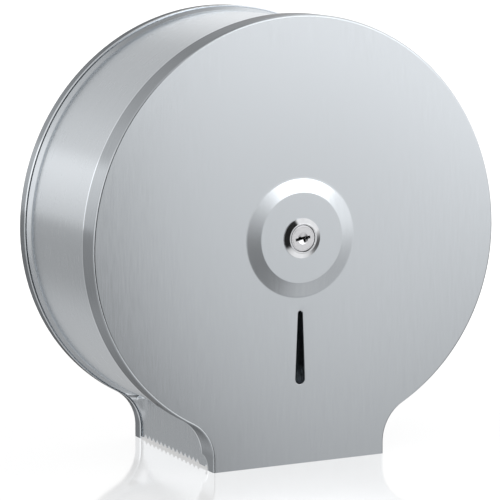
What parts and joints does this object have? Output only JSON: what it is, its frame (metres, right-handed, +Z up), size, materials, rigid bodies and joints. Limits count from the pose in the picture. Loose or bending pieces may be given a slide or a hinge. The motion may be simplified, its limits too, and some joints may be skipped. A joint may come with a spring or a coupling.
{
  "type": "jumbo toilet roll dispenser",
  "caption": "Round brushed steel wall dispenser for a jumbo toilet roll, with a locked hinged cover, a level slot and a toothed neck for the paper.",
  "frame": {"origin": "on the wall plane, where the line through the roll spindle and the lock meets it", "axes": "+Z up, -Y out of the front face, +X to the right as seen from the front"},
  "size_m": [0.266, 0.1161, 0.2678],
  "materials": {
    "shell_steel": "stainless steel sheet with a fine upright brush grain",
    "plain_steel": "bright zinc-plated steel",
    "cast_aluminium": "cast aluminium, blasted",
    "nylon": "natural nylon",
    "hub_plastic": "grey moulded plastic, satin",
    "lock_chrome": "bright chromed zinc",
    "wafer_brass": "stamped brass"
  },
  "bodies": {
    "housing": {"back_plate": "shell_steel", "drum_wall": "shell_steel", "hinge_rod": "plain_steel", "rod_rings": "plain_steel", "hinge_bushes": "nylon", "spindle_flange": "plain_steel", "spindle_post": "cast_aluminium", "spindle_rivets": "plain_steel", "hub_washers": "nylon", "strike_plate": "plain_steel", "strike_screws": "plain_steel"},
    "cover": {"front_cover": "shell_steel", "hinge_lugs": "plain_steel", "lock_body": "lock_chrome", "tooth_washer": "plain_steel", "lock_nut": "plain_steel"},
    "lock_core": {"lock_plug": "lock_chrome", "lock_wafers": "wafer_brass", "lock_cam": "plain_steel", "cam_washer": "plain_steel", "cam_nut": "plain_steel"},
    "hub": {"roll_hub": "hub_plastic"}
  },
  "joints": [
    {"name": "cover_hinge", "type": "hinge", "parent": "housing", "child": "cover", "pos_m": [0, -0.1014, -0.12661], "axis": [1, 0, 0], "range_deg": [0, 95]},
    {"name": "lock_turn", "type": "hinge", "parent": "cover", "child": "lock_core", "pos_m": [0, -0.105, 0], "axis": [0, 1, 0], "range_deg": [0, 90]},
    {"name": "hub_spin", "type": "hinge", "parent": "housing", "child": "hub", "pos_m": [0, -0.05, 0], "axis": [0, 1, 0], "continuous": true}
  ]
}
